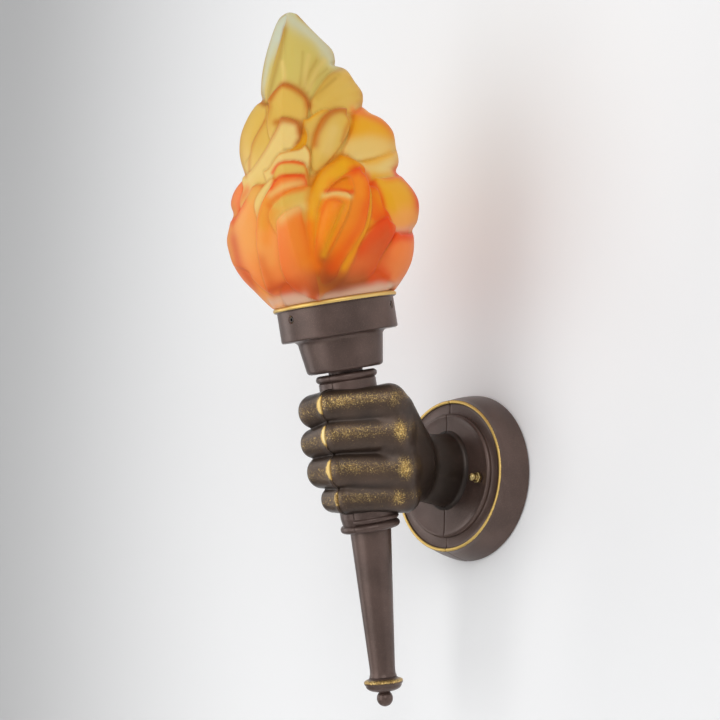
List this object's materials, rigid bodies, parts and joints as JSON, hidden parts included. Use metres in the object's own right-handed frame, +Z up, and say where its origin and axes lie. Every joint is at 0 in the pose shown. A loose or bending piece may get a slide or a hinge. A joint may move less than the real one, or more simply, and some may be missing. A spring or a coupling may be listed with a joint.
{
  "type": "torch wall light",
  "caption": "Wall light in the form of a fist on a round plate that holds up a torch, with a petalled glass flame shade seated in a stepped metal cup.",
  "frame": {"origin": "centre of the wall plate, in the plane of the wall, midway between the two wall screws", "axes": "+Z up, -Y out of the wall towards the room, +X to the right of someone who faces the wall"},
  "size_m": [0.1332, 0.2056, 0.471],
  "materials": {
    "bronze_paint": "satin dark bronze-brown paint with gilt brushed over the raised places",
    "zinc_steel": "zinc plated",
    "brass": "satin",
    "aged_brass": "aged",
    "white_plastic": "matte",
    "brown_insulation": "matte",
    "blue_insulation": "matte",
    "green_insulation": "matte",
    "black_plastic": "matte",
    "porcelain": "glazed",
    "black_rubber": "matte",
    "flame_glass": "satin frosted, orange at the bottom to pale yellow at the tip",
    "nickel_cap": "satin",
    "black_glass": "glossy",
    "bulb_glass": "frosted"
  },
  "bodies": {
    "sconce": {"wall_bracket": "zinc_steel", "bracket_studs": "zinc_steel", "stud_nuts": "zinc_steel", "earth_screw": "brass", "terminal_block": "white_plastic", "terminal_screws": "brass", "live_lead": "brown_insulation", "neutral_lead": "blue_insulation", "earth_lead": "green_insulation", "casting_right": "bronze_paint", "casting_left": "bronze_paint", "dowel_pins": "zinc_steel", "joining_screws": "zinc_steel", "torch_cup": "bronze_paint", "cup_washer": "bronze_paint", "nipple": "brass", "nipple_nuts": "brass", "holder_cap": "black_plastic", "holder_insert": "porcelain", "holder_skirt": "black_plastic", "socket_shell": "brass", "centre_contact": "brass", "shade_gasket": "black_rubber", "lower_handle": "bronze_paint", "tie_rod": "zinc_steel", "tie_rod_nut": "zinc_steel"},
    "shade": {"glass_shade": "flame_glass"},
    "bulb": {"bulb_cap": "nickel_cap", "bulb_contact": "black_glass", "bulb_envelope": "bulb_glass"},
    "front_screw": {"shade_screw_front": "zinc_steel"},
    "right_screw": {"shade_screw_right": "zinc_steel"},
    "left_screw": {"shade_screw_left": "zinc_steel"},
    "right_cap_nut": {"cap_nut_right": "aged_brass"},
    "left_cap_nut": {"cap_nut_left": "aged_brass"},
    "finial": {"handle_finial": "bronze_paint"}
  },
  "joints": [
    {"name": "shade_lift", "type": "slide", "parent": "sconce", "child": "shade", "axis": [0, -0.247, 0.969], "range_m": [0, 0.12]},
    {"name": "bulb_unscrew", "type": "slide", "parent": "sconce", "child": "bulb", "axis": [0, -0.247, 0.969], "range_m": [0, 0.028]},
    {"name": "front_screw_back_out", "type": "slide", "parent": "sconce", "child": "front_screw", "axis": [0, -0.969, -0.247], "range_m": [0, 0.003]},
    {"name": "right_screw_back_out", "type": "slide", "parent": "sconce", "child": "right_screw", "axis": [0.866, 0.4845, 0.1235], "range_m": [0, 0.003]},
    {"name": "left_screw_back_out", "type": "slide", "parent": "sconce", "child": "left_screw", "axis": [-0.866, 0.4845, 0.1235], "range_m": [0, 0.003]},
    {"name": "right_cap_nut_turn", "type": "hinge", "parent": "sconce", "child": "right_cap_nut", "pos_m": [0.0348, -0.028, -0.0035], "axis": [0, -1, 0], "continuous": true},
    {"name": "left_cap_nut_turn", "type": "hinge", "parent": "sconce", "child": "left_cap_nut", "pos_m": [-0.0348, -0.028, -0.0035], "axis": [0, -1, 0], "continuous": true},
    {"name": "finial_turn", "type": "hinge", "parent": "sconce", "child": "finial", "pos_m": [-0.006, -0.07165, -0.14882], "axis": [0, -0.153, 0.9882], "continuous": true}
  ]
}
